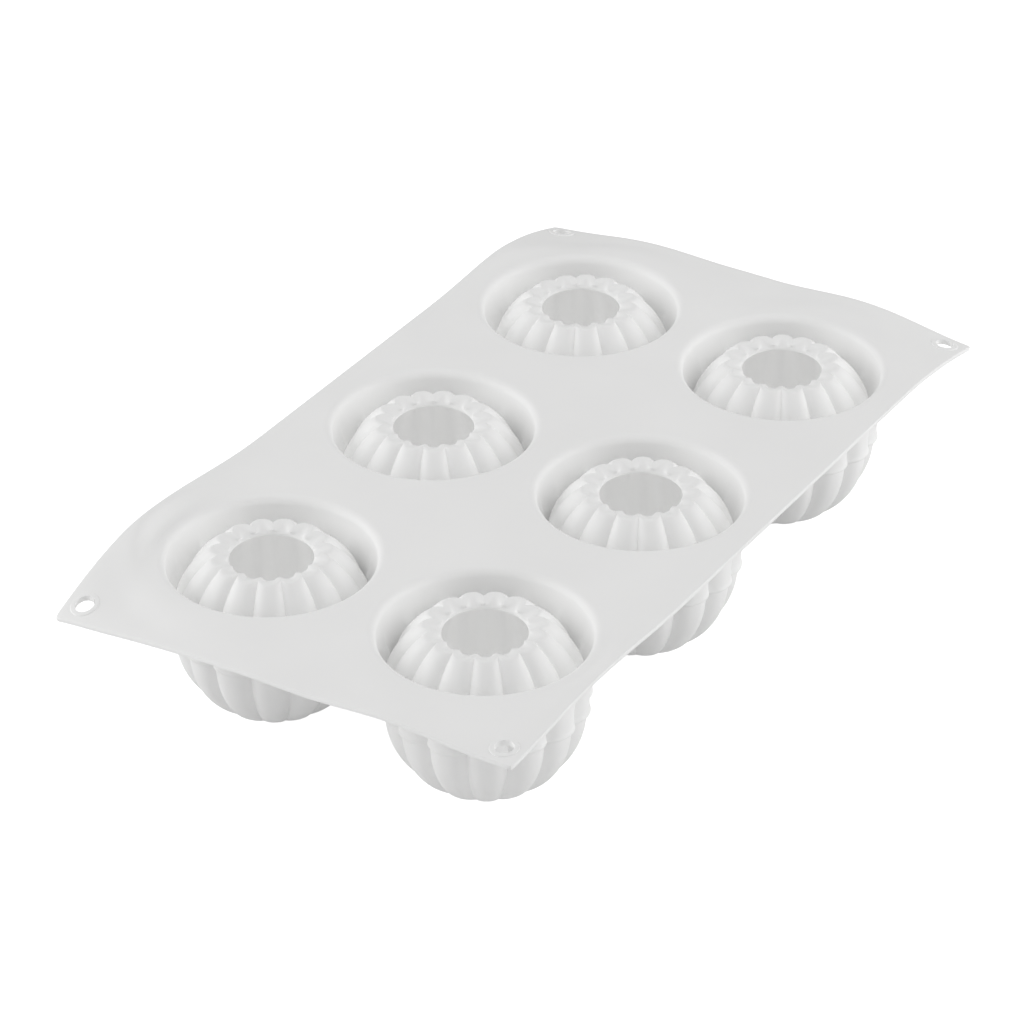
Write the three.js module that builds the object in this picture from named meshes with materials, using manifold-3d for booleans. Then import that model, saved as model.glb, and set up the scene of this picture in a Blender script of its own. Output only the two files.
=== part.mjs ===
// Flexible sheet mould with six fluted balls in two columns and three rows.
// Millimetres, +Z up, X across the sheet, Y along it, the six feet standing on z = 0.
import * as THREE from 'three';
import Module from 'manifold-3d';
import { mergeVertices } from 'three/addons/utils/BufferGeometryUtils.js';

const wasm = await Module();
wasm.setup();

// Sheet
const SHEET_THICKNESS = 1.6;
const SHEET_CORNER_RADIUS = 1.2;
const HANGING_HOLE_RADIUS = 3.2;
const HANGING_HOLE_INSET = 7;

// Flat sheet left between the rims of neighbouring cups, and between the rims and the sheet's edges
const WEB_ACROSS = 5.6;
const WEB_ALONG = 19.8;
const SIDE_MARGIN = 7.2;
const END_MARGIN = 18.2;

// Sag of the loose sheet ends, starting a little beyond the centres of the end rows
const DROOP_START = 4.2;
const DROOP_FADE = 14;
const END_DROOP = 2.5;
const CORNER_DROOP = { front_left: 9, front_right: 1.2, rear_left: 8, rear_right: 6 };

// Places where the edge of the sheet curls up beside an end cup: middle, half length and height of each hump
const CURL_WIDTH = 22;
const CURL_RIM_FADE = 7;
const SIDE_CURLS = [
  { side: -1, y: -103, reach: 65, height: 4.6 },
  { side: -1, y: 116, reach: 50, height: 2 },
  { side: 1, y: -100, reach: 50, height: 2 },
];
const END_CURLS = [
  { end: 1, x: -46, reach: 36, height: 1.6 },
  { end: 1, x: 46, reach: 40, height: 2.8 },
  { end: -1, x: 42, reach: 36, height: 2 },
];

// Layout of the six cups
const ROWS = ['front', 'middle', 'rear'];
const COLUMNS = ['left', 'right'];

// Ball: the crown above and the bowl below are both parts of spheres, joined by a short upright band
const BALL_RADIUS = 33;
const BALL_WALL = 1.6;
const BALL_BAND = 0.8;
const CROWN_CENTRE_DEPTH = 25.1;
const MOUTH_RISE = 1.7;
const FOOT_LATITUDE = 75;

// Flutes of the ball, and how far each ball is turned about its own axis, in degrees
const FLUTE_COUNT = 15;
const FLUTE_DEPTH = 2.6;
const FLUTE_FULL_RADIUS = 16;
const BALL_TURN_DEGREES = {
  front_left: 3, front_right: 3.6, middle_left: 3.7, middle_right: 10.4, rear_left: 7.2, rear_right: 10.4,
};

// Collar: the outer wall of the moat round each ball, with a rounded lip at the sheet
const LIP_RADIUS = 3;
const LIP_FLARE = 0.75;
const FLANGE_WIDTH = 0.8;
const COLLAR_WALL = 1.3;
const WAIST_FLARE = 0.2;
const COLLAR_WAIST_DEPTH = 12;
const COLLAR_STRAIGHT = 6;

// Clearances between pieces that move
const BALL_CLEARANCE = 0.45;
const HINGE_GAP = 0.3;

// Fineness of the facets: steps round and along each piece, and the turns of rounded edges in degrees
const RING_STEPS = 40;
const STEPS_PER_FLUTE = 3;
const CROWN_STEPS = { outside: 3, inside: 2 };
const BOWL_STEPS = { outside: 4, inside: 3 };
const HOLE_STEPS = 16;
const PANEL_SHARES = [0, 0.5, 1];
const EDGE_RING = PANEL_SHARES.length - 1;
const NOSE_TURNS = [45, 90, 135];
const LIP_TURNS = [0, 45, 90];
const MERGE_DISTANCE = 1e-4;

// Heights and places that follow from the sizes above
const RADIANS = Math.PI / 180;
const FOOT_DROP = BALL_RADIUS * Math.sin(FOOT_LATITUDE * RADIANS);
const BOWL_CENTRE_Z = FOOT_DROP;
const PARTING_Z = BOWL_CENTRE_Z + BALL_BAND;
const SHEET_TOP = PARTING_Z + CROWN_CENTRE_DEPTH;
const SHEET_MIDDLE_Z = SHEET_TOP - SHEET_THICKNESS / 2;
const MOUTH_Z = SHEET_TOP + MOUTH_RISE;
const COLLAR_INNER_RADIUS = BALL_RADIUS + BALL_CLEARANCE;
const COLLAR_WAIST_RADIUS = COLLAR_INNER_RADIUS + WAIST_FLARE;
const COLLAR_FOOT_DEPTH = SHEET_TOP - BOWL_CENTRE_Z;
const LIP_TANGENT_RADIUS = COLLAR_INNER_RADIUS + LIP_FLARE + LIP_RADIUS;
const FLANGE_RADIUS = LIP_TANGENT_RADIUS + FLANGE_WIDTH;
const PITCH_X = 2 * FLANGE_RADIUS + WEB_ACROSS;
const PITCH_Y = 2 * FLANGE_RADIUS + WEB_ALONG;
const HALF_WIDTH = PITCH_X / 2 + FLANGE_RADIUS + SIDE_MARGIN;
const HALF_LENGTH = PITCH_Y + FLANGE_RADIUS + END_MARGIN;
const DROOP_START_Y = PITCH_Y + DROOP_START;
const HINGE_Y = PITCH_Y / 2;
const NOSE_RADIUS = SHEET_THICKNESS / 2;
const PANEL_END_Y = HINGE_Y + NOSE_RADIUS + HINGE_GAP;

const SILICONE = { color: 0xdcdcda, roughness: 0.55, metalness: 0 };
const part = new THREE.Group();
part.name = 'sphere_mould';

// Six times the volume of a triangle mesh, negative when its faces look inwards
function signedVolume(points, faces) {
  let sum = 0;
  for (const [a, b, c] of faces) {
    const [p, q, r] = [points[a], points[b], points[c]];
    sum += p[0] * (q[1] * r[2] - q[2] * r[1]);
    sum += p[1] * (q[2] * r[0] - q[0] * r[2]);
    sum += p[2] * (q[0] * r[1] - q[1] * r[0]);
  }
  return sum;
}

function makeGeometry(points, faces) {
  const outward = signedVolume(points, faces) > 0;
  const order = faces.map(([a, b, c]) => (outward ? [a, b, c] : [a, c, b]));
  const geometry = new THREE.BufferGeometry();
  geometry.setAttribute('position', new THREE.Float32BufferAttribute(points.flat(), 3));
  geometry.setIndex(order.flat());
  return mergeVertices(geometry, MERGE_DISTANCE);
}

function addNode(name, geometry) {
  geometry.computeVertexNormals();
  const mesh = new THREE.Mesh(geometry, new THREE.MeshStandardMaterial(SILICONE));
  mesh.name = name;
  part.add(mesh);
}

function toManifold(geometry) {
  const plain = geometry.clone();
  plain.deleteAttribute('normal');
  plain.deleteAttribute('uv');
  const merged = mergeVertices(plain, MERGE_DISTANCE);
  return new wasm.Manifold(new wasm.Mesh({
    numProp: 3,
    vertProperties: new Float32Array(merged.attributes.position.array),
    triVerts: new Uint32Array(merged.index.array),
  }));
}

function fromManifold(manifold) {
  const mesh = manifold.getMesh();
  const geometry = new THREE.BufferGeometry();
  geometry.setAttribute('position', new THREE.Float32BufferAttribute(mesh.vertProperties, 3));
  geometry.setIndex(Array.from(mesh.triVerts));
  return geometry;
}

// Two triangles for the four-cornered face a, b, c, d
function quad(faces, a, b, c, d) {
  faces.push([a, b, c], [a, c, d]);
}

// Skins a row of rings that all have the same number of points; closed joins the last ring to the first
function skinRings(rings, closed) {
  const points = rings.flat();
  const faces = [];
  const count = rings[0].length;
  const spans = closed ? rings.length : rings.length - 1;
  for (let i = 0; i < spans; i += 1) {
    const lower = i * count;
    const upper = ((i + 1) % rings.length) * count;
    for (let k = 0; k < count; k += 1) {
      const next = (k + 1) % count;
      quad(faces, lower + k, lower + next, upper + next, upper + k);
    }
  }
  if (!closed) {
    const last = (rings.length - 1) * count;
    for (let k = 1; k < count - 1; k += 1) {
      faces.push([0, k + 1, k], [last, last + k, last + k + 1]);
    }
  }
  return makeGeometry(points, faces);
}

// A smooth hump: 1 in the middle and 0 at its reach
function bell(offset, reach) {
  return Math.cos(Math.PI / 2 * Math.min(1, Math.abs(offset) / reach)) ** 2;
}

// Height of an end of the sheet over its level plane: sagging corners, and curled edges beside the cups
function endHeight(x, y) {
  const ease = (value) => THREE.MathUtils.smoothstep(value, 0, 1);
  const along = Math.max(0, (Math.abs(y) - DROOP_START_Y) / (HALF_LENGTH - DROOP_START_Y));
  const across = Math.abs(x) / HALF_WIDTH;
  const corner = CORNER_DROOP[`${y < 0 ? 'front' : 'rear'}_${x < 0 ? 'left' : 'right'}`];
  const fromCentreX = Math.abs(x) - PITCH_X / 2;
  const fromCentreY = Math.abs(y) - PITCH_Y;
  const fromRim = Math.hypot(fromCentreX, fromCentreY) - FLANGE_RADIUS;
  const fade = ease(fromRim / DROOP_FADE);
  const droop = fade * along * along * (END_DROOP + (corner - END_DROOP) * across * across);
  let curl = 0;
  for (const hump of SIDE_CURLS) {
    const atSide = ease(1 - (HALF_WIDTH - hump.side * x) / CURL_WIDTH);
    curl += hump.height * atSide * bell(y - hump.y, hump.reach);
  }
  for (const hump of END_CURLS) {
    const atEnd = ease(1 - (HALF_LENGTH - hump.end * y) / CURL_WIDTH);
    curl += hump.height * atEnd * bell(x - hump.x, hump.reach);
  }
  return curl * ease(fromRim / CURL_RIM_FADE) - droop;
}

// Even steps from one end of a side to the other, after a rounded corner at either end
function sideSteps(from, to, roundedFrom, roundedTo) {
  const way = Math.sign(to - from);
  const steps = RING_STEPS / 4;
  const first = roundedFrom ? 1 : 0;
  const last = roundedTo ? steps - 1 : steps;
  const start = from + (roundedFrom ? way * SHEET_CORNER_RADIUS : 0);
  const end = to - (roundedTo ? way * SHEET_CORNER_RADIUS : 0);
  const stops = [];
  for (let k = 0; k < steps; k += 1) {
    stops.push(k < first ? from : start + (end - start) * (k - first) / (last - first));
  }
  return stops;
}

// The outline of one cell of the sheet, listed so that it pairs with the steps of the hole in its middle.
// round tells whether a point is a rounded corner of the whole sheet.
function cellOutline(x0, x1, y0, y1, round) {
  const right = sideSteps(y0, y1, round(x1, y0), round(x1, y1)).map((y) => [x1, y]);
  const top = sideSteps(x1, x0, round(x1, y1), round(x0, y1)).map((x) => [x, y1]);
  const left = sideSteps(y1, y0, round(x0, y1), round(x0, y0)).map((y) => [x0, y]);
  const bottom = sideSteps(x0, x1, round(x0, y0), round(x1, y0)).map((x) => [x, y0]);
  const outline = [...right, ...top, ...left, ...bottom];
  const inset = SHEET_CORNER_RADIUS * (1 - Math.SQRT1_2);
  for (const point of outline) {
    if (round(point[0], point[1])) {
      point[0] -= Math.sign(point[0]) * inset;
      point[1] -= Math.sign(point[1]) * inset;
    }
  }
  const eighth = RING_STEPS / 8;
  return [...outline.slice(eighth), ...outline.slice(0, eighth)];
}

function rowY(rowName) {
  return (ROWS.indexOf(rowName) - 1) * PITCH_Y;
}

function columnX(columnName) {
  return (COLUMNS.indexOf(columnName) - 0.5) * PITCH_X;
}

function circlePoint(k, radius) {
  const angle = 2 * Math.PI * k / RING_STEPS;
  return [radius * Math.cos(angle), radius * Math.sin(angle)];
}

// One panel of the sheet: two cells side by side, each with a round hole for its collar.
// noseSides lists the y of the edges that end in a half-round nose on the bending line.
function panelGeometry(rowName, y0, y1, noseSides) {
  const points = [];
  const faces = [];
  const isSheetCorner = (x, y) => Math.abs(x) === HALF_WIDTH && Math.abs(y) === HALF_LENGTH;
  const addPoint = (x, y, z) => points.push([x, y, z]) - 1;

  for (const columnName of COLUMNS) {
    const centreX = columnX(columnName);
    const centreY = rowY(rowName);
    const [x0, x1] = centreX < 0 ? [-HALF_WIDTH, 0] : [0, HALF_WIDTH];
    const outline = cellOutline(x0, x1, y0, y1, isSheetCorner);
    const tops = [];
    const bottoms = [];
    for (const share of PANEL_SHARES) {
      const plan = outline.map(([x, y], k) => {
        const [dx, dy] = circlePoint(k, FLANGE_RADIUS);
        return [(centreX + dx) * (1 - share) + x * share, (centreY + dy) * (1 - share) + y * share];
      });
      const isLevel = share === 0 || rowName === 'middle';
      const heights = plan.map(([x, y]) => SHEET_TOP + (isLevel ? 0 : endHeight(x, y)));
      tops.push(plan.map(([x, y], k) => addPoint(x, y, heights[k])));
      bottoms.push(plan.map(([x, y], k) => addPoint(x, y, heights[k] - SHEET_THICKNESS)));
    }
    for (let k = 0; k < RING_STEPS; k += 1) {
      const n = (k + 1) % RING_STEPS;
      for (let ring = 0; ring < EDGE_RING; ring += 1) {
        quad(faces, tops[ring][k], tops[ring + 1][k], tops[ring + 1][n], tops[ring][n]);
        quad(faces, bottoms[ring][n], bottoms[ring + 1][n], bottoms[ring + 1][k], bottoms[ring][k]);
      }
      quad(faces, tops[0][k], tops[0][n], bottoms[0][n], bottoms[0][k]);

      const [a, b] = [outline[k], outline[n]];
      const shared = a[0] === 0 && b[0] === 0;
      const noseY = noseSides.find((y) => a[1] === y && b[1] === y);
      if (shared) {
        continue;
      }
      if (noseY === undefined) {
        quad(faces, tops[EDGE_RING][n], tops[EDGE_RING][k], bottoms[EDGE_RING][k], bottoms[EDGE_RING][n]);
        continue;
      }
      const noseColumn = (index, [x, y]) => [
        tops[EDGE_RING][index],
        ...NOSE_TURNS.map((turn) => addPoint(
          x,
          y + Math.sign(noseY) * NOSE_RADIUS * Math.sin(turn * RADIANS),
          SHEET_MIDDLE_Z + NOSE_RADIUS * Math.cos(turn * RADIANS),
        )),
        bottoms[EDGE_RING][index],
      ];
      const from = noseColumn(k, a);
      const to = noseColumn(n, b);
      for (let i = 0; i < from.length - 1; i += 1) {
        quad(faces, to[i], from[i], from[i + 1], to[i + 1]);
      }
      for (const [end, list] of [[a, [...from].reverse()], [b, to]]) {
        if (Math.abs(end[0]) === HALF_WIDTH) {
          for (let i = 1; i < list.length - 1; i += 1) {
            faces.push([list[0], list[i], list[i + 1]]);
          }
        }
      }
    }
  }
  return makeGeometry(points, faces);
}

// Cuts the two hanging holes through the corners of an end panel
function withHangingHoles(geometry, endY) {
  let solid = toManifold(geometry);
  const tall = 4 * Math.max(...Object.values(CORNER_DROOP));
  for (const side of [-1, 1]) {
    const drill = new THREE.CylinderGeometry(HANGING_HOLE_RADIUS, HANGING_HOLE_RADIUS, tall, HOLE_STEPS);
    drill.rotateX(Math.PI / 2);
    const x = side * (HALF_WIDTH - HANGING_HOLE_INSET);
    const y = endY - Math.sign(endY) * HANGING_HOLE_INSET;
    drill.translate(x, y, SHEET_TOP);
    solid = solid.subtract(toManifold(drill));
  }
  return fromManifold(solid);
}

// A ring of points round the ball's axis, with a groove at the start of each flute
function flutedRing(radius, z, turn, fluteShare) {
  const count = FLUTE_COUNT * STEPS_PER_FLUTE;
  const ring = [];
  for (let k = 0; k < count; k += 1) {
    const angle = turn * RADIANS + 2 * Math.PI * k / count;
    const r = radius - (k % STEPS_PER_FLUTE === 0 ? FLUTE_DEPTH * fluteShare : 0);
    ring.push([r * Math.cos(angle), r * Math.sin(angle), z]);
  }
  return ring;
}

// A ring on a sphere about the ball's axis, at a latitude in degrees; flutes flatten near the pole
function sphereRing(radius, centreZ, latitude, turn) {
  const ringRadius = radius * Math.cos(latitude * RADIANS);
  const z = centreZ + radius * Math.sin(latitude * RADIANS);
  return flutedRing(ringRadius, z, turn, Math.min(1, ringRadius / FLUTE_FULL_RADIUS));
}

// Rings at the height where crown and bowl meet: round outside, which closes the moat's floor, fluted inside
function partingRings(turn) {
  return [
    flutedRing(BALL_RADIUS, PARTING_Z, turn, 0),
    flutedRing(BALL_RADIUS - BALL_WALL, PARTING_Z, turn, 1),
  ];
}

function latitudes(from, to, steps) {
  return Array.from({ length: steps + 1 }, (_, i) => from + (to - from) * i / steps);
}

function latitudeAt(radius, height) {
  return Math.asin(height / radius) / RADIANS;
}

// Upper part of the ball, open at its fill mouth
function crownGeometry(turn) {
  const inner = BALL_RADIUS - BALL_WALL;
  const rise = MOUTH_Z - PARTING_Z;
  const outside = latitudes(0, latitudeAt(BALL_RADIUS, rise), CROWN_STEPS.outside).slice(1);
  const inside = latitudes(latitudeAt(inner, rise), 0, CROWN_STEPS.inside).slice(0, -1);
  const [outerParting, innerParting] = partingRings(turn);
  return skinRings([
    outerParting,
    ...outside.map((latitude) => sphereRing(BALL_RADIUS, PARTING_Z, latitude, turn)),
    ...inside.map((latitude) => sphereRing(inner, PARTING_Z, latitude, turn)),
    innerParting,
  ], true);
}

// Lower part of the ball, closed by its flat foot
function bowlGeometry(turn) {
  const inner = BALL_RADIUS - BALL_WALL;
  const innerFloor = latitudeAt(inner, FOOT_DROP - BALL_WALL);
  const outside = latitudes(-FOOT_LATITUDE, 0, BOWL_STEPS.outside);
  const inside = latitudes(0, -innerFloor, BOWL_STEPS.inside);
  return skinRings([
    ...outside.map((latitude) => sphereRing(BALL_RADIUS, BOWL_CENTRE_Z, latitude, turn)),
    ...partingRings(turn),
    ...inside.map((latitude) => sphereRing(inner, BOWL_CENTRE_Z, latitude, turn)),
  ], false);
}

// Outer wall of the moat: flange, rounded lip, tapering wall and straight foot, as one turned ring
function collarGeometry() {
  const lipInner = LIP_RADIUS - SHEET_THICKNESS;
  const arc = (radius, turn) => [
    LIP_TANGENT_RADIUS - radius * Math.sin(turn * RADIANS),
    -LIP_RADIUS + radius * Math.cos(turn * RADIANS),
  ];
  const outerRadius = COLLAR_INNER_RADIUS + COLLAR_WALL;
  const profile = [
    [FLANGE_RADIUS, 0],
    ...LIP_TURNS.map((turn) => arc(LIP_RADIUS, turn)),
    [COLLAR_WAIST_RADIUS, -COLLAR_WAIST_DEPTH],
    [COLLAR_INNER_RADIUS, -COLLAR_FOOT_DEPTH + COLLAR_STRAIGHT],
    [COLLAR_INNER_RADIUS, -COLLAR_FOOT_DEPTH],
    [outerRadius, -COLLAR_FOOT_DEPTH],
    [outerRadius, -COLLAR_FOOT_DEPTH + COLLAR_STRAIGHT],
    [COLLAR_WAIST_RADIUS + COLLAR_WALL, -COLLAR_WAIST_DEPTH],
    ...LIP_TURNS.slice(1).reverse().map((turn) => arc(lipInner, turn)),
    [FLANGE_RADIUS, -SHEET_THICKNESS],
  ];
  return skinRings(profile.map(([radius, depth]) => Array.from({ length: RING_STEPS }, (_, k) => {
    const [x, y] = circlePoint(k, radius);
    return [x, y, SHEET_TOP + depth];
  })), true);
}

// Sheet panels, parted at the two bending lines between the rows
const frontPanel = panelGeometry('front', -HALF_LENGTH, -PANEL_END_Y, []);
const middlePanel = panelGeometry('middle', -HINGE_Y, HINGE_Y, [-HINGE_Y, HINGE_Y]);
const rearPanel = panelGeometry('rear', PANEL_END_Y, HALF_LENGTH, []);
addNode('front_panel', withHangingHoles(frontPanel, -HALF_LENGTH));
addNode('middle_panel', middlePanel);
addNode('rear_panel', withHangingHoles(rearPanel, HALF_LENGTH));

// Cups: a collar in the panel's hole, and the crown and bowl of the ball inside it
for (const rowName of ROWS) {
  for (const columnName of COLUMNS) {
    const cup = `${rowName}_${columnName}`;
    const pieces = {
      collar: collarGeometry(),
      crown: crownGeometry(BALL_TURN_DEGREES[cup]),
      bowl: bowlGeometry(BALL_TURN_DEGREES[cup]),
    };
    for (const [piece, geometry] of Object.entries(pieces)) {
      geometry.translate(columnX(columnName), rowY(rowName), 0);
      addNode(`${cup}_${piece}`, geometry);
    }
  }
}

export default part;
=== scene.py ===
import math

import bpy
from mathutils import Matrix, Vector


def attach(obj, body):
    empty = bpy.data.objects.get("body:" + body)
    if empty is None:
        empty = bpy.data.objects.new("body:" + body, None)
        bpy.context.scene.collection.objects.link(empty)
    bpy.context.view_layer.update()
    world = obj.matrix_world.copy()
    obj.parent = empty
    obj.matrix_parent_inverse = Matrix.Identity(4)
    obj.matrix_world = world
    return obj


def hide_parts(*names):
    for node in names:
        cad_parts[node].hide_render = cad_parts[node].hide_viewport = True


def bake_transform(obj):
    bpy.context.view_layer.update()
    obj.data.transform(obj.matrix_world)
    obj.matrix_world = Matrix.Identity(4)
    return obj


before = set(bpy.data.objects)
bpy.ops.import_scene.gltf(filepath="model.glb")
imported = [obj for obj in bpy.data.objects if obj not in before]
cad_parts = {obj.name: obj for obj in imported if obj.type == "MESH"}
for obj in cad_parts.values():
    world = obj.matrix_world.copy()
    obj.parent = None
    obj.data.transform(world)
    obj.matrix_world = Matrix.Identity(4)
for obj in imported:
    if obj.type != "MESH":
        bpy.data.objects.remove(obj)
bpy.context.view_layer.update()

# Ball sizes, in metres, in the frame of the solids
MM = 0.001
BALL_RADIUS = 33 * MM
BALL_WALL = 1.6 * MM
BALL_BAND = 0.8 * MM
CROWN_CENTRE_DEPTH = 25.1 * MM
FOOT_LATITUDE = 75
FOOT_CENTRE_RADIUS = 4 * MM
CROWN_STEPS = {"outside": 24, "lip": 4, "inside": 20}
BOWL_STEPS = {"outside": 32, "inside": 28}

# Mouth: a rounded rim over the sheet, a slope down to the throat, and the hollow under the throat's edge
MOUTH_RISE = 1.2 * MM
MOUTH_RIM_INSET = 0.5 * MM
RIM_SLOPE_WIDTH = 2.0 * MM
RIM_SLOPE_DROP = 0.6 * MM
THROAT_RADIUS = 13.8 * MM
THROAT_DEPTH = 2.5 * MM
THROAT_EDGE_WIDTH = 0.5 * MM
THROAT_EDGE_HEIGHT = 0.6 * MM
UNDERCUT_WIDTH = 3.2 * MM
UNDERCUT_RISE = 0.1 * MM
UNDERCUT_DROP = 0.4 * MM

# Flutes: how many, how deep, how narrow the grooves are, where the flutes fade out near the mouth and
# the foot, and how far each ball is turned, in degrees
FLUTE_COUNT = 15
FLUTE_STEPS = 20
FLUTE_DEPTH = 2.6 * MM
FLUTE_POWER = 2.5
THROAT_FADE = 3.2 * MM
FOOT_FADE_START = 11 * MM
FOOT_FADE_END = 29 * MM
BALL_TURN = {
    "front_left": 3.0, "front_right": 3.6, "middle_left": 3.7,
    "middle_right": 10.4, "rear_left": 7.2, "rear_right": 10.4,
}

# Collar: the wall round the moat, with a rounded lip at the sheet and a bead at its foot
BALL_CLEARANCE = 0.12 * MM
LIP_RADIUS = 3 * MM
LIP_TANGENT_RADIUS = 37.2 * MM
FLANGE_RADIUS = 38 * MM
WAIST_DEPTH = 12 * MM
WAIST_RADIUS = 33.6 * MM
WAIST_WALL = 1.0 * MM
FOOT_WALL = 0.8 * MM
LIP_STRAIGHT = 1 * MM
WALL_SPREAD = 0.1 * MM
WALL_FRONT_RISE = 4.6 * MM
WALL_BACK_RISE = 8 * MM
BEAD_RISE = 0.45 * MM
BEAD_CREST = 0.7 * MM
BEAD_HEIGHT = 2.4 * MM
COLLAR_STEPS = {"lip": 10, "front": 8, "back": 6, "under_lip": 6}
COLLAR_FLUTE_START = 6 * MM
COLLAR_FLUTE_FULL = 20 * MM

# Sheet
SHEET_THICKNESS = 1.6 * MM
SHEET_CORNER_RADIUS = 1.2 * MM
SHEET_EDGE_ROUNDING = 0.35 * MM
SHEET_EDGE_STEPS = 3
SEAM_MARGIN = 1 * MM
HANGING_HOLE_RADIUS = 3.2 * MM
HANGING_HOLE_INSET = 7 * MM
HOLE_BEAD_RADIUS = 4.7 * MM
HOLE_BEAD_RISE = 0.3 * MM
HOLE_STEPS = 48
HOLE_BEAD_STEPS = 4
DRILL_LENGTH = 8 * SHEET_THICKNESS
WEB_ACROSS = 5.6 * MM
WEB_ALONG = 19.8 * MM
SIDE_MARGIN = 7.2 * MM
END_MARGIN = 18.2 * MM
CELL_RINGS = 10

# Sag of the loose sheet ends, and the places where the edge of the sheet curls up beside a cup
DROOP_START = 4.2 * MM
DROOP_FADE = 14 * MM
END_DROOP = 2.5 * MM
CORNER_DROOP = {
    "front_left": 9 * MM, "front_right": 1.2 * MM, "rear_left": 8 * MM, "rear_right": 6 * MM,
}
CURL_WIDTH = 22 * MM
CURL_RIM_FADE = 7 * MM
SIDE_CURLS = [
    {"side": -1, "y": -103 * MM, "reach": 65 * MM, "height": 4.6 * MM},
    {"side": -1, "y": 116 * MM, "reach": 50 * MM, "height": 2.0 * MM},
    {"side": 1, "y": -100 * MM, "reach": 50 * MM, "height": 2.0 * MM},
]
END_CURLS = [
    {"end": 1, "x": -46 * MM, "reach": 36 * MM, "height": 1.6 * MM},
    {"end": 1, "x": 46 * MM, "reach": 40 * MM, "height": 2.8 * MM},
    {"end": -1, "x": 42 * MM, "reach": 36 * MM, "height": 2.0 * MM},
]

# Places that follow from the sizes above
FOOT_DROP = BALL_RADIUS * math.sin(math.radians(FOOT_LATITUDE))
BOWL_CENTRE_Z = FOOT_DROP
PARTING_Z = BOWL_CENTRE_Z + BALL_BAND
SHEET_TOP = PARTING_Z + CROWN_CENTRE_DEPTH
MOUTH_Z = SHEET_TOP + MOUTH_RISE
PITCH_X = 2 * FLANGE_RADIUS + WEB_ACROSS
PITCH_Y = 2 * FLANGE_RADIUS + WEB_ALONG
HALF_WIDTH = PITCH_X / 2 + FLANGE_RADIUS + SIDE_MARGIN
HALF_LENGTH = PITCH_Y + FLANGE_RADIUS + END_MARGIN
SEAM_Y = FLANGE_RADIUS + SEAM_MARGIN
ROUND_STEPS = FLUTE_COUNT * FLUTE_STEPS
FLUTE_ANGLE = 2 * math.pi / FLUTE_COUNT

ROWS = {"front": -PITCH_Y, "middle": 0.0, "rear": PITCH_Y}
COLUMNS = {"left": -PITCH_X / 2, "right": PITCH_X / 2}

# Modelling: places that count as one, the distance for welding, and the least angle of a sharp edge
SAME_PLACE = 0.001 * MM
WELD_DISTANCE = 0.002 * MM
SHARP_ANGLE = 40

# Silicone: its colour and shine, its broad faint clouds and its fine grain
SILICONE_COLOUR = (0.94, 0.94, 0.935)
SILICONE_SHINE = 0.35
CLOUD_SCALE = 28
CLOUD_DETAIL = 3
CLOUD_TINT = (0.97, 1.03)
GRAIN_SCALE = 1600
GRAIN_DETAIL = 2
GRAIN_ROUGHNESS = (0.5, 0.62)
GRAIN_STRENGTH = 0.1
GRAIN_DEPTH = 0.03 * MM

# Walls: the share of lamp light that gets through a face, and a painted glow (emission) on the faces that
# look at the ball's middle at least so squarely; the glow stands in for the light that the thin walls would
# carry into the ball
PAINTED_GLOW_SQUARENESS = 0.5
WALLS = {
    "sheet": {"translucency": 0.48, "glow": 0},
    "collar": {"translucency": 0.8, "glow": 0},
    "ball": {"translucency": 0.66, "glow": 0},
    # The inside faces get a painted glow: emission that stands in for light let in through the walls
    "inside": {"translucency": 0.66, "glow": 0.066},
}

# Camera: where it looks, from where, and where that point falls in the square picture
CAMERA_AZIMUTH = 31.886
CAMERA_ELEVATION = 31.735
CAMERA_DISTANCE = 1.4058
CAMERA_LENS = 147.8
CAMERA_SENSOR = 36
CAMERA_SHIFT = (-0.0233, -0.0539)

# Light: soft boxes turned from the camera's side, an even surround, and a floor that stays white
LIGHT_DISTANCE = 1.45
LIGHT_SIZE = 1.0
SOFT_BOXES = {
    "left": {"turn": -90, "elevation": 22, "power": 9.2},
    "right": {"turn": 90, "elevation": 22, "power": 8.4},
    "front": {"turn": 0, "elevation": 28, "power": 0.7},
}
SURROUND = 0.5
FLOOR_SIZE = 12
FLOOR_DROP = 0.2 * MM
FLOOR_COLOUR = (0.85, 0.85, 0.85)
FLOOR_ROUGHNESS = 0.9
FLOOR_GLOW = 0.75


# Modelling helpers

def deselect_all():
    if bpy.context.mode != "OBJECT":
        bpy.ops.object.mode_set(mode="OBJECT")
    bpy.ops.object.select_all(action="DESELECT")


def make_active(piece):
    deselect_all()
    piece.select_set(True)
    bpy.context.view_layer.objects.active = piece


def edit(piece, select="VERT"):
    make_active(piece)
    bpy.ops.object.mode_set(mode="EDIT")
    bpy.ops.mesh.select_mode(type=select)


def leave_edit():
    bpy.ops.object.mode_set(mode="OBJECT")


def select_where(piece, wanted):
    """Selects the vertices that the test wanted(position) accepts, and stays in edit mode."""
    edit(piece)
    bpy.ops.mesh.select_all(action="DESELECT")
    leave_edit()
    for vertex in piece.data.vertices:
        vertex.select = wanted(vertex.co)
    bpy.ops.object.mode_set(mode="EDIT")


def select_numbered(piece, numbers):
    """Selects the vertices with the given numbers, and stays in edit mode."""
    edit(piece)
    bpy.ops.mesh.select_all(action="DESELECT")
    leave_edit()
    for number in numbers:
        piece.data.vertices[number].select = True
    bpy.ops.object.mode_set(mode="EDIT")


def select_edges_where(piece, wanted):
    """Selects the edges whose two ends the test wanted(first, second) accepts, and stays in edit mode."""
    edit(piece, "EDGE")
    bpy.ops.mesh.select_all(action="DESELECT")
    leave_edit()
    vertices = piece.data.vertices
    for line in piece.data.edges:
        line.select = wanted(vertices[line.vertices[0]].co, vertices[line.vertices[1]].co)
    bpy.ops.object.mode_set(mode="EDIT")


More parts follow.
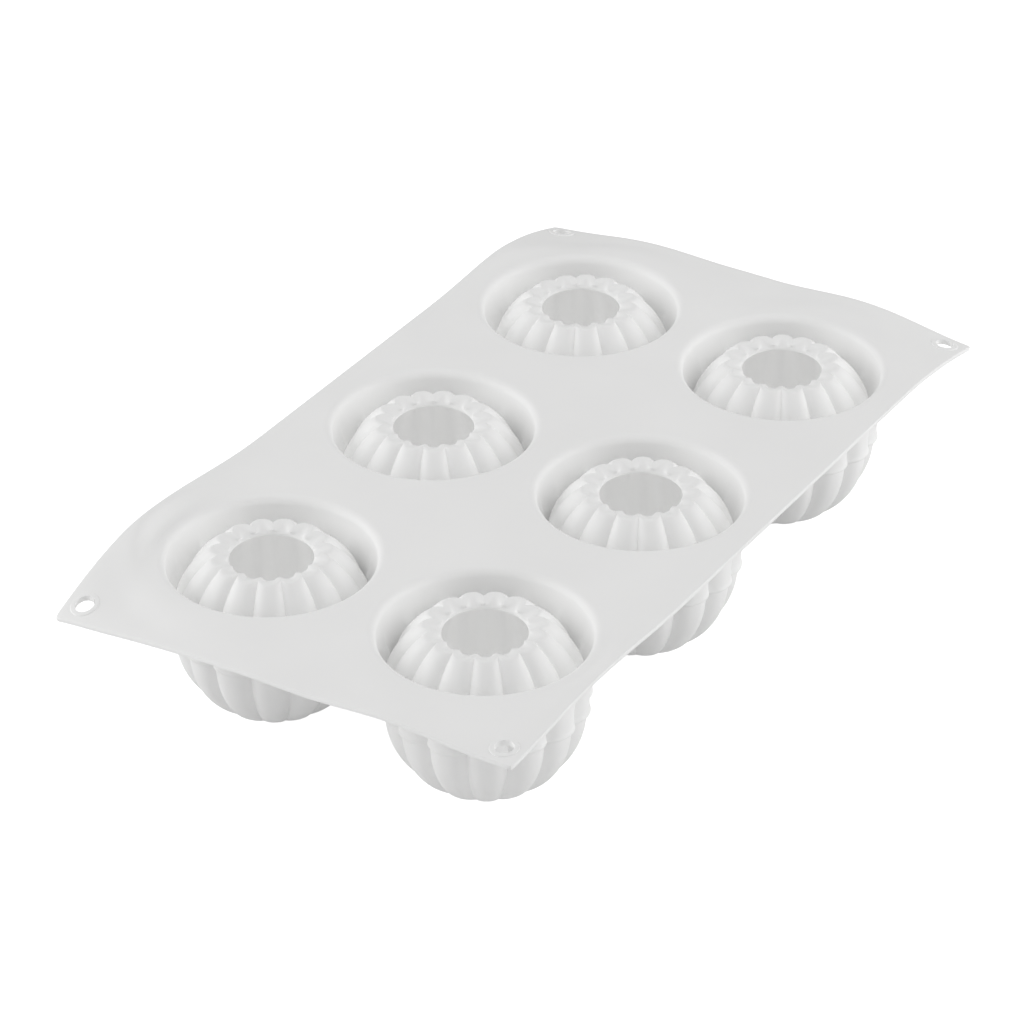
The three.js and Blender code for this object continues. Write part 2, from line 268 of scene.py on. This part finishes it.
def apply_modifier(piece, kind, **settings):
    make_active(piece)
    modifier = piece.modifiers.new(kind.title(), kind)
    for key, value in settings.items():
        setattr(modifier, key, value)
    bpy.ops.object.modifier_apply(modifier=modifier.name)


def weld(piece):
    edit(piece)
    bpy.ops.mesh.select_all(action="SELECT")
    bpy.ops.mesh.remove_doubles(threshold=WELD_DISTANCE)
    bpy.ops.mesh.normals_make_consistent(inside=False)
    leave_edit()


def join(pieces, name):
    make_active(pieces[0])
    for piece in pieces[1:]:
        piece.select_set(True)
    bpy.ops.object.join()
    joined = bpy.context.active_object
    joined.name = name
    joined.data.name = name
    return joined


def delete(piece):
    make_active(piece)
    bpy.ops.object.delete()


def shade(piece):
    make_active(piece)
    bpy.ops.object.shade_smooth_by_angle(angle=math.radians(SHARP_ANGLE))


def copy_to(piece, name, place, turn):
    """A copy with its own mesh, turned about its axis and set down at a place, with the move applied."""
    make_active(piece)
    bpy.ops.object.duplicate(linked=False)
    copy = bpy.context.active_object
    copy.name = name
    copy.data.name = name
    copy.rotation_euler = (0, 0, math.radians(turn))
    copy.location = place
    bpy.ops.object.transform_apply(location=True, rotation=True, scale=True)
    return copy


def ease(value):
    """A smooth step from 0 to 1."""
    share = min(1, max(0, value))
    return share * share * (3 - 2 * share)


# Profiles and turned pieces

def arc(centre, radius, start, end, steps):
    """Points on a circle in the XZ plane, from one angle to another, in degrees from +X."""
    points = []
    for step in range(steps + 1):
        angle = math.radians(start + (end - start) * step / steps)
        points.append((centre[0] + radius * math.cos(angle), centre[1] + radius * math.sin(angle)))
    return points


def smooth_path(points, steps):
    """A smooth curve through the given points, with the same number of steps between each pair."""
    knots = [Vector(point) for point in points]
    path = []
    for i in range(len(knots) - 1):
        here, there = knots[i], knots[i + 1]
        leave = (there - knots[max(i - 1, 0)]) / 2
        arrive = (knots[min(i + 2, len(knots) - 1)] - here) / 2
        for step in range(steps):
            t = step / steps
            point = here * (2 * t ** 3 - 3 * t ** 2 + 1) + there * (3 * t ** 2 - 2 * t ** 3)
            point += leave * (t ** 3 - 2 * t ** 2 + t) + arrive * (t ** 3 - t ** 2)
            path.append((point.x, point.y))
    path.append(tuple(points[-1]))
    return path


def draw_profile(name, points, closed):
    """An outline in the XZ plane, drawn as a chain of vertices from a single point."""
    deselect_all()
    bpy.ops.mesh.primitive_plane_add(size=MM)
    piece = bpy.context.active_object
    piece.name = name
    piece.data.name = name
    edit(piece)
    bpy.ops.mesh.select_all(action="SELECT")
    bpy.ops.mesh.merge(type="CENTER")
    bpy.ops.transform.translate(value=(points[0][0], 0, points[0][1]))
    for last, point in zip(points, points[1:]):
        move = (point[0] - last[0], 0, point[1] - last[1])
        bpy.ops.mesh.extrude_vertices_move(TRANSFORM_OT_translate={"value": move})
    if closed:
        ends = (Vector((points[0][0], 0, points[0][1])), Vector((points[-1][0], 0, points[-1][1])))
        select_where(piece, lambda co: min((co - end).length for end in ends) < SAME_PLACE)
        bpy.ops.mesh.edge_face_add()
    leave_edit()
    return piece


def turn_on_axis(piece, steps, angle):
    """Spins an outline about the upright axis through the origin."""
    edit(piece)
    bpy.ops.mesh.select_all(action="SELECT")
    bpy.ops.mesh.spin(steps=steps, angle=angle, center=(0, 0, 0), axis=(0, 0, 1))
    leave_edit()


def press_flute(piece, depth_at):
    """Moves the columns of one flute towards the axis, one column and one depth at a time.
    depth_at(position, side) is the move; side runs from 0 in the flute's middle to 1 at its two grooves."""
    step_angle = FLUTE_ANGLE / FLUTE_STEPS
    groups = {}
    for vertex in piece.data.vertices:
        if vertex.co.xy.length > SAME_PLACE:
            step = round(abs(math.atan2(vertex.co.y, vertex.co.x)) / step_angle)
            side = abs(2 * step / FLUTE_STEPS - 1)
            depth = SAME_PLACE * round(depth_at(vertex.co, side) / SAME_PLACE)
            move = -vertex.co.xy.normalized() * depth
            groups.setdefault((step, depth), (move, set()))[1].add(vertex.index)
    for (step, depth), (move, members) in groups.items():
        if depth > 0:
            select_numbered(piece, members)
            bpy.ops.transform.translate(value=(move.x, move.y, 0))
            leave_edit()


def groove(side):
    """Share of the depth on the outside of a wall: flat lobes and narrow grooves."""
    return side ** FLUTE_POWER


def bulge(side):
    """Share of the depth on the inside of a wall: the round backs of the grooves."""
    return (1 - math.cos(math.pi * side)) / 2


def wall_depth(co, side, centre_z):
    """Depth of the flute at a place in the ball's wall, from the outside to the inside of the wall."""
    from_centre = math.hypot(co.xy.length, co.z - centre_z)
    outside = ease(1 - (BALL_RADIUS - from_centre) / BALL_WALL)
    return FLUTE_DEPTH * (outside * groove(side) + (1 - outside) * bulge(side))


def repeat_flute(piece):
    """Copies one flute round the axis and welds the flutes into a closed piece."""
    edit(piece)
    bpy.ops.mesh.select_all(action="SELECT")
    copies = FLUTE_COUNT - 1
    bpy.ops.mesh.spin(
        steps=copies, dupli=True, angle=copies * FLUTE_ANGLE, center=(0, 0, 0), axis=(0, 0, 1))
    leave_edit()
    weld(piece)


# The ball: crown above, bowl below

def make_crown():
    """The upper half of the ball; its wall turns in at the mouth to a narrow throat."""
    inner = BALL_RADIUS - BALL_WALL
    rim_z = MOUTH_Z - PARTING_Z
    rim_radius = math.sqrt(BALL_RADIUS ** 2 - rim_z ** 2) - MOUTH_RIM_INSET
    shoulder_z = rim_z - MOUTH_RIM_INSET
    shoulder = math.degrees(math.asin(shoulder_z / BALL_RADIUS))
    throat_z = rim_z - THROAT_DEPTH
    under_z = throat_z - UNDERCUT_DROP
    under = math.degrees(math.asin(under_z / inner))
    outline = arc((0, 0), BALL_RADIUS, 0, shoulder, CROWN_STEPS["outside"])[:-1]
    outline += smooth_path([
        (BALL_RADIUS * math.cos(math.radians(shoulder)), shoulder_z),
        (rim_radius, rim_z),
        (rim_radius - RIM_SLOPE_WIDTH, rim_z - RIM_SLOPE_DROP),
        (THROAT_RADIUS + THROAT_EDGE_WIDTH, throat_z + THROAT_EDGE_HEIGHT),
        (THROAT_RADIUS, throat_z),
        (THROAT_RADIUS + THROAT_EDGE_HEIGHT, throat_z - THROAT_EDGE_HEIGHT),
        (THROAT_RADIUS + UNDERCUT_WIDTH, throat_z + UNDERCUT_RISE),
        (inner * math.cos(math.radians(under)), under_z),
    ], CROWN_STEPS["lip"])[:-1]
    outline += arc((0, 0), inner, under, 0, CROWN_STEPS["inside"])
    outline = [(radius, PARTING_Z + z) for radius, z in outline]
    crown = draw_profile("crown_model", outline, closed=True)
    turn_on_axis(crown, FLUTE_STEPS, FLUTE_ANGLE)

    def depth_at(co, side):
        return ease((co.xy.length - THROAT_RADIUS) / THROAT_FADE) * wall_depth(co, side, PARTING_Z)

    press_flute(crown, depth_at)
    repeat_flute(crown)
    shade(crown)
    return crown


def make_bowl():
    """The lower half of the ball, from the band at its middle to the flat foot."""
    inner = BALL_RADIUS - BALL_WALL
    centre = (0, BOWL_CENTRE_Z)
    inner_floor = math.degrees(math.asin((FOOT_DROP - BALL_WALL) / inner))
    band = [BOWL_CENTRE_Z + BALL_BAND * share for share in (0.5, 1)]
    outline = [(0, 0), (FOOT_CENTRE_RADIUS, 0)]
    outline += arc(centre, BALL_RADIUS, -FOOT_LATITUDE, 0, BOWL_STEPS["outside"])
    outline += [(BALL_RADIUS, z) for z in band]
    outline += [(inner, z) for z in reversed(band)]
    outline += arc(centre, inner, 0, -inner_floor, BOWL_STEPS["inside"])
    outline += [(FOOT_CENTRE_RADIUS, BALL_WALL), (0, BALL_WALL)]
    bowl = draw_profile("bowl_model", outline, closed=False)
    turn_on_axis(bowl, FLUTE_STEPS, FLUTE_ANGLE)
    fade = FOOT_FADE_END - FOOT_FADE_START

    def depth_at(co, side):
        return ease((co.xy.length - FOOT_FADE_START) / fade) * wall_depth(co, side, BOWL_CENTRE_Z)

    press_flute(bowl, depth_at)
    repeat_flute(bowl)
    shade(bowl)
    return bowl


# The collar: rounded lip, moat wall that takes on the ball's flutes, and a small bead at its foot

def make_collar():
    """The wall round the moat, from the flange in the sheet down to the ball's middle."""
    inner = BALL_RADIUS + BALL_CLEARANCE
    foot = inner + FOOT_WALL
    waist_z = SHEET_TOP - WAIST_DEPTH
    wall_top_z = SHEET_TOP - LIP_RADIUS - LIP_STRAIGHT
    lip_centre = (LIP_TANGENT_RADIUS, SHEET_TOP - LIP_RADIUS)
    under_lip = LIP_RADIUS - SHEET_THICKNESS
    outline = [(FLANGE_RADIUS, SHEET_TOP)]
    outline += arc(lip_centre, LIP_RADIUS, 90, 180, COLLAR_STEPS["lip"])
    outline += smooth_path([
        (LIP_TANGENT_RADIUS - LIP_RADIUS, wall_top_z),
        (WAIST_RADIUS, waist_z),
        (inner + WALL_SPREAD, PARTING_Z + WALL_FRONT_RISE),
        (inner, BOWL_CENTRE_Z),
    ], COLLAR_STEPS["front"])
    outline += smooth_path([
        (foot + BEAD_RISE / 2, BOWL_CENTRE_Z),
        (foot + BEAD_RISE, BOWL_CENTRE_Z + BEAD_CREST),
        (foot, BOWL_CENTRE_Z + BEAD_HEIGHT),
        (foot + WALL_SPREAD, BOWL_CENTRE_Z + WALL_BACK_RISE),
        (WAIST_RADIUS + WAIST_WALL, waist_z),
        (LIP_TANGENT_RADIUS - under_lip, wall_top_z),
    ], COLLAR_STEPS["back"])
    outline += arc(lip_centre, under_lip, 180, 90, COLLAR_STEPS["under_lip"])
    outline += [(FLANGE_RADIUS, SHEET_TOP - SHEET_THICKNESS)]
    collar = draw_profile("collar_model", outline, closed=True)
    turn_on_axis(collar, FLUTE_STEPS, FLUTE_ANGLE)
    fade = COLLAR_FLUTE_FULL - COLLAR_FLUTE_START

    def depth_at(co, side):
        return FLUTE_DEPTH * ease((SHEET_TOP - co.z - COLLAR_FLUTE_START) / fade) * groove(side)

    press_flute(collar, depth_at)
    repeat_flute(collar)
    shade(collar)
    return collar


# The sheet: cells round the cups, joined in three stretches

def bell(offset, reach):
    """A smooth hump: 1 in the middle and 0 at its reach."""
    return math.cos(math.pi / 2 * min(1, abs(offset) / reach)) ** 2


def sheet_height(x, y):
    """Height of an end of the sheet over its level plane: sagging corners, and curled edges."""
    from_rim = math.hypot(abs(x) - PITCH_X / 2, abs(y) - PITCH_Y) - FLANGE_RADIUS
    start = PITCH_Y + DROOP_START
    along = max(0, (abs(y) - start) / (HALF_LENGTH - start))
    across = abs(x) / HALF_WIDTH
    corner = CORNER_DROOP[f"{'front' if y < 0 else 'rear'}_{'left' if x < 0 else 'right'}"]
    droop = ease(from_rim / DROOP_FADE) * along ** 2 * (END_DROOP + (corner - END_DROOP) * across ** 2)
    curl = 0
    for hump in SIDE_CURLS:
        at_side = ease(1 - (HALF_WIDTH - hump["side"] * x) / CURL_WIDTH)
        curl += hump["height"] * at_side * bell(y - hump["y"], hump["reach"])
    for hump in END_CURLS:
        at_end = ease(1 - (HALF_LENGTH - hump["end"] * y) / CURL_WIDTH)
        curl += hump["height"] * at_end * bell(x - hump["x"], hump["reach"])
    return curl * ease(from_rim / CURL_RIM_FADE) - droop


def make_cell(cup_x, cup_y, y0, y1):
    """One cell of the sheet, as a surface: a ring of faces from the cup's rim to the cell's outline."""
    deselect_all()
    bpy.ops.mesh.primitive_circle_add(
        vertices=ROUND_STEPS, radius=FLANGE_RADIUS, location=(cup_x, cup_y, SHEET_TOP))
    rim = bpy.context.active_object
    bpy.ops.object.transform_apply(location=True, rotation=True, scale=True)
    deselect_all()
    side = math.copysign(HALF_WIDTH, cup_x)
    bpy.ops.mesh.primitive_plane_add(size=1, location=(side / 2, (y0 + y1) / 2, SHEET_TOP))
    border = bpy.context.active_object
    border.scale = (HALF_WIDTH, y1 - y0, 1)
    bpy.ops.object.transform_apply(location=True, rotation=True, scale=True)
    edit(border, "EDGE")
    bpy.ops.mesh.select_all(action="SELECT")
    bpy.ops.mesh.delete(type="ONLY_FACE")
    bpy.ops.mesh.select_all(action="SELECT")
    bpy.ops.mesh.subdivide(number_cuts=ROUND_STEPS // 4 - 1)
    leave_edit()
    cell = join([rim, border], "cell")
    edit(cell, "EDGE")
    bpy.ops.mesh.select_all(action="SELECT")
    bpy.ops.mesh.bridge_edge_loops(number_cuts=CELL_RINGS, interpolation="LINEAR")
    leave_edit()
    return cell


def on_border(co, end_y):
    """Whether a place lies on the outer edge of the sheet."""
    at_side = abs(abs(co.x) - HALF_WIDTH) < SAME_PLACE
    at_end = end_y is not None and abs(co.y - end_y) < SAME_PLACE
    return at_side or at_end


def round_corners(piece):
    """Turns the square corners of the sheet into round ones, drawing the rows beside them along."""
    centre_x = HALF_WIDTH - SHEET_CORNER_RADIUS
    centre_y = HALF_LENGTH - SHEET_CORNER_RADIUS
    for vertex in piece.data.vertices:
        u = abs(vertex.co.x) - centre_x
        v = abs(vertex.co.y) - centre_y
        if u > 0 and v > 0:
            pull = max(u, v) / math.hypot(u, v)
            vertex.co.x = math.copysign(centre_x + u * pull, vertex.co.x)
            vertex.co.y = math.copysign(centre_y + v * pull, vertex.co.y)


def make_hole_bead(place):
    """A low ring with a rounded shoulder, sunk halfway into the level sheet round a hanging hole."""
    sunk = SHEET_TOP - SHEET_THICKNESS / 2
    bore = HANGING_HOLE_RADIUS / 2
    outline = [(bore, sunk), (bore, SHEET_TOP + HOLE_BEAD_RISE)]
    shoulder_centre = (HOLE_BEAD_RADIUS - HOLE_BEAD_RISE, SHEET_TOP)
    outline += arc(shoulder_centre, HOLE_BEAD_RISE, 90, 0, HOLE_BEAD_STEPS)
    outline += [(HOLE_BEAD_RADIUS, sunk)]
    bead = draw_profile("hole_bead", outline, closed=True)
    turn_on_axis(bead, HOLE_STEPS, 2 * math.pi)
    weld(bead)
    bead.location = (*place, 0)
    bpy.ops.object.transform_apply(location=True, rotation=True, scale=True)
    return bead


def pierce_hanging_holes(sheet, end_y):
    """Adds a low ring near each corner of a free end, and drills the hole through it."""
    inset = math.copysign(HANGING_HOLE_INSET, end_y)
    for side in (-1, 1):
        place = (side * (HALF_WIDTH - HANGING_HOLE_INSET), end_y - inset)
        bead = make_hole_bead(place)
        apply_modifier(sheet, "BOOLEAN", operation="UNION", object=bead)
        delete(bead)
        deselect_all()
        bpy.ops.mesh.primitive_cylinder_add(
            vertices=HOLE_STEPS, radius=HANGING_HOLE_RADIUS, depth=DRILL_LENGTH,
            location=(*place, SHEET_TOP))
        drill = bpy.context.active_object
        apply_modifier(sheet, "BOOLEAN", operation="DIFFERENCE", object=drill)
        delete(drill)


def make_sheet(name, cup_y, y0, y1, end_y=None):
    """One stretch of the sheet with its two cells; end_y is the free end of the sheet, if it has one."""
    cells = [make_cell(cup_x, cup_y, y0, y1) for cup_x in COLUMNS.values()]
    sheet = join(cells, name)
    weld(sheet)
    edit(sheet)
    bpy.ops.mesh.select_all(action="SELECT")
    if sum(face.normal.z for face in sheet.data.polygons) < 0:
        bpy.ops.mesh.flip_normals()
    leave_edit()
    apply_modifier(sheet, "SOLIDIFY", thickness=SHEET_THICKNESS, offset=-1)

    def rim_edge(a, b):
        return on_border(a, end_y) and on_border(b, end_y) and abs(a.z - b.z) < SAME_PLACE

    select_edges_where(sheet, rim_edge)
    bpy.ops.mesh.bevel(offset=SHEET_EDGE_ROUNDING, segments=SHEET_EDGE_STEPS, affect="EDGES")
    leave_edit()
    if end_y is not None:
        round_corners(sheet)
        pierce_hanging_holes(sheet, end_y)
        for vertex in sheet.data.vertices:
            vertex.co.z += sheet_height(vertex.co.x, vertex.co.y)
    weld(sheet)
    shade(sheet)
    return sheet


# Silicone

def make_grain_group():
    """Shade and roughness of the moulded skin: broad faint clouds and a fine matt grain."""
    group = bpy.data.node_groups.new("silicone_skin", "ShaderNodeTree")
    interface = group.interface
    interface.new_socket("Colour", in_out="INPUT", socket_type="NodeSocketColor")
    interface.new_socket("Colour", in_out="OUTPUT", socket_type="NodeSocketColor")
    interface.new_socket("Roughness", in_out="OUTPUT", socket_type="NodeSocketFloat")
    interface.new_socket("Normal", in_out="OUTPUT", socket_type="NodeSocketVector")
    nodes, links = group.nodes, group.links
    entry = nodes.new("NodeGroupInput")
    leave = nodes.new("NodeGroupOutput")
    place = nodes.new("ShaderNodeTexCoord")

    clouds = nodes.new("ShaderNodeTexNoise")
    clouds.inputs["Scale"].default_value = CLOUD_SCALE
    clouds.inputs["Detail"].default_value = CLOUD_DETAIL
    links.new(place.outputs["Object"], clouds.inputs["Vector"])
    tint = nodes.new("ShaderNodeMapRange")
    tint.inputs["To Min"].default_value = CLOUD_TINT[0]
    tint.inputs["To Max"].default_value = CLOUD_TINT[1]
    links.new(clouds.outputs["Fac"], tint.inputs["Value"])
    shaded = nodes.new("ShaderNodeMix")
    shaded.data_type = "RGBA"
    shaded.blend_type = "MULTIPLY"
    shaded.inputs["Factor"].default_value = 1
    links.new(entry.outputs["Colour"], shaded.inputs["A"])
    links.new(tint.outputs["Result"], shaded.inputs["B"])
    links.new(shaded.outputs["Result"], leave.inputs["Colour"])

    grain = nodes.new("ShaderNodeTexNoise")
    grain.inputs["Scale"].default_value = GRAIN_SCALE
    grain.inputs["Detail"].default_value = GRAIN_DETAIL
    links.new(place.outputs["Object"], grain.inputs["Vector"])
    matt = nodes.new("ShaderNodeMapRange")
    matt.inputs["To Min"].default_value = GRAIN_ROUGHNESS[0]
    matt.inputs["To Max"].default_value = GRAIN_ROUGHNESS[1]
    links.new(grain.outputs["Fac"], matt.inputs["Value"])
    links.new(matt.outputs["Result"], leave.inputs["Roughness"])
    bump = nodes.new("ShaderNodeBump")
    bump.inputs["Strength"].default_value = GRAIN_STRENGTH
    bump.inputs["Distance"].default_value = GRAIN_DEPTH
    links.new(grain.outputs["Fac"], bump.inputs["Height"])
    links.new(bump.outputs["Normal"], leave.inputs["Normal"])
    return group


def make_silicone(name, group, translucency, glow):
    """Silicone that looks solid and lets a share of the lamps' light pass, with a painted glow (emission)
    of the given strength.
    """
    material = bpy.data.materials.new(name)
    material.use_nodes = True
    nodes, links = material.node_tree.nodes, material.node_tree.links
    shader = nodes["Principled BSDF"]
    skin = nodes.new("ShaderNodeGroup")
    skin.node_tree = group
    skin.inputs["Colour"].default_value = (*SILICONE_COLOUR, 1)
    links.new(skin.outputs["Colour"], shader.inputs["Base Color"])
    links.new(skin.outputs["Roughness"], shader.inputs["Roughness"])
    links.new(skin.outputs["Normal"], shader.inputs["Normal"])
    shader.inputs["Specular IOR Level"].default_value = SILICONE_SHINE
    # Painted glow: emission that stands in for light carried through the walls into the ball
    shader.inputs["Emission Color"].default_value = (1, 1, 1, 1)
    shader.inputs["Emission Strength"].default_value = glow
    path = nodes.new("ShaderNodeLightPath")
    passing = nodes.new("ShaderNodeBsdfTransparent")
    passing.inputs["Color"].default_value = (translucency, translucency, translucency, 1)
    blend = nodes.new("ShaderNodeMixShader")
    links.new(path.outputs["Is Shadow Ray"], blend.inputs["Fac"])
    links.new(shader.outputs["BSDF"], blend.inputs[1])
    links.new(passing.outputs["BSDF"], blend.inputs[2])
    links.new(blend.outputs["Shader"], nodes["Material Output"].inputs["Surface"])
    return material


skin_group = make_grain_group()
silicone = {kind: make_silicone(f"silicone_{kind}", skin_group, **wall) for kind, wall in WALLS.items()}


def dress(piece, kind):
    piece.data.materials.clear()
    piece.data.materials.append(silicone[kind])


def dress_ball(piece, centre):
    """The ball's wall, with the faces that look at the ball's own middle given a painted glow that stands
    in for the light the wall lets in.
    """
    dress(piece, "ball")
    piece.data.materials.append(silicone["inside"])
    # Faces turned towards the ball's middle get the material with the painted glow
    for face in piece.data.polygons:
        towards = centre - face.center
        if towards.dot(face.normal) > PAINTED_GLOW_SQUARENESS * towards.length:
            face.material_index = 1


# Pieces set down and tied to the bodies

sheet_stretches = {
    "front": make_sheet("sheet_front", ROWS["front"], -HALF_LENGTH, -SEAM_Y, -HALF_LENGTH),
    "middle": make_sheet("sheet_middle", ROWS["middle"], -SEAM_Y, SEAM_Y),
    "rear": make_sheet("sheet_rear", ROWS["rear"], SEAM_Y, HALF_LENGTH, HALF_LENGTH),
}
for row, sheet in sheet_stretches.items():
    dress(sheet, "sheet")
    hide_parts(f"{row}_panel")
    if row == "middle":
        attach(sheet, "middle_sheet")
    else:
        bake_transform(sheet)

models = {"crown": make_crown(), "bowl": make_bowl(), "collar": make_collar()}
for row, y in ROWS.items():
    for column, x in COLUMNS.items():
        cup = f"{row}_{column}"
        for part, model in models.items():
            piece = copy_to(model, f"{cup}_{part}_skin", (x, y, 0), BALL_TURN[cup])
            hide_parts(f"{cup}_{part}")
            if part == "collar":
                dress(piece, "collar")
                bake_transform(piece)
            else:
                dress_ball(piece, Vector((x, y, PARTING_Z)))
                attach(piece, f"{cup}_ball")
for model in models.values():
    delete(model)


# Floor, light and camera

def make_paper():
    """White paper that looks evenly bright to the camera."""
    material = bpy.data.materials.new("paper")
    material.use_nodes = True
    nodes, links = material.node_tree.nodes, material.node_tree.links
    shader = nodes["Principled BSDF"]
    shader.inputs["Base Color"].default_value = (*FLOOR_COLOUR, 1)
    shader.inputs["Roughness"].default_value = FLOOR_ROUGHNESS
    shader.inputs["Emission Color"].default_value = (1, 1, 1, 1)
    seen = nodes.new("ShaderNodeLightPath")
    glow = nodes.new("ShaderNodeMapRange")
    glow.inputs["To Max"].default_value = FLOOR_GLOW
    links.new(seen.outputs["Is Camera Ray"], glow.inputs["Value"])
    links.new(glow.outputs["Result"], shader.inputs["Emission Strength"])
    return material


def lay_floor():
    deselect_all()
    bpy.ops.mesh.primitive_plane_add(size=FLOOR_SIZE, location=(0, 0, -FLOOR_DROP))
    floor = bpy.context.active_object
    floor.name = "floor"
    floor.data.materials.append(make_paper())


def looking_from(azimuth, elevation):
    """The direction from the part towards a viewer, with azimuth 0 in front of the sheet, in degrees."""
    turn, lift = math.radians(azimuth), math.radians(elevation)
    return Vector((math.sin(turn) * math.cos(lift), -math.cos(turn) * math.cos(lift), math.sin(lift)))


def soft_box(name, turn, elevation, power):
    """A square soft light that looks at the middle of the part, turned from the camera's side."""
    away = looking_from(CAMERA_AZIMUTH + turn, elevation)
    bpy.ops.object.light_add(type="AREA", location=Vector((0, 0, SHEET_TOP)) + away * LIGHT_DISTANCE)
    light = bpy.context.active_object
    light.name = name
    light.data.shape = "SQUARE"
    light.data.size = LIGHT_SIZE
    light.data.energy = power
    light.rotation_euler = (-away).to_track_quat("-Z", "Y").to_euler()


def light_surround():
    """An even white light from all sides."""
    world = bpy.data.worlds.new("studio")
    world.use_nodes = True
    background = world.node_tree.nodes["Background"]
    background.inputs["Color"].default_value = (1, 1, 1, 1)
    background.inputs["Strength"].default_value = SURROUND
    bpy.context.scene.world = world


def set_up_camera():
    back = looking_from(CAMERA_AZIMUTH, CAMERA_ELEVATION)
    camera_data = bpy.data.cameras.new("camera")
    camera = bpy.data.objects.new("camera", camera_data)
    bpy.context.scene.collection.objects.link(camera)
    camera.location = Vector((0, 0, SHEET_TOP)) + back * CAMERA_DISTANCE
    camera.rotation_euler = (-back).to_track_quat("-Z", "Y").to_euler()
    camera_data.lens = CAMERA_LENS
    camera_data.sensor_width = CAMERA_SENSOR
    camera_data.shift_x, camera_data.shift_y = CAMERA_SHIFT
    bpy.context.scene.camera = camera


lay_floor()
for side, box in SOFT_BOXES.items():
    soft_box(f"{side}_box", box["turn"], box["elevation"], box["power"])
light_surround()
set_up_camera()
bpy.context.scene.view_settings.view_transform = "Standard"
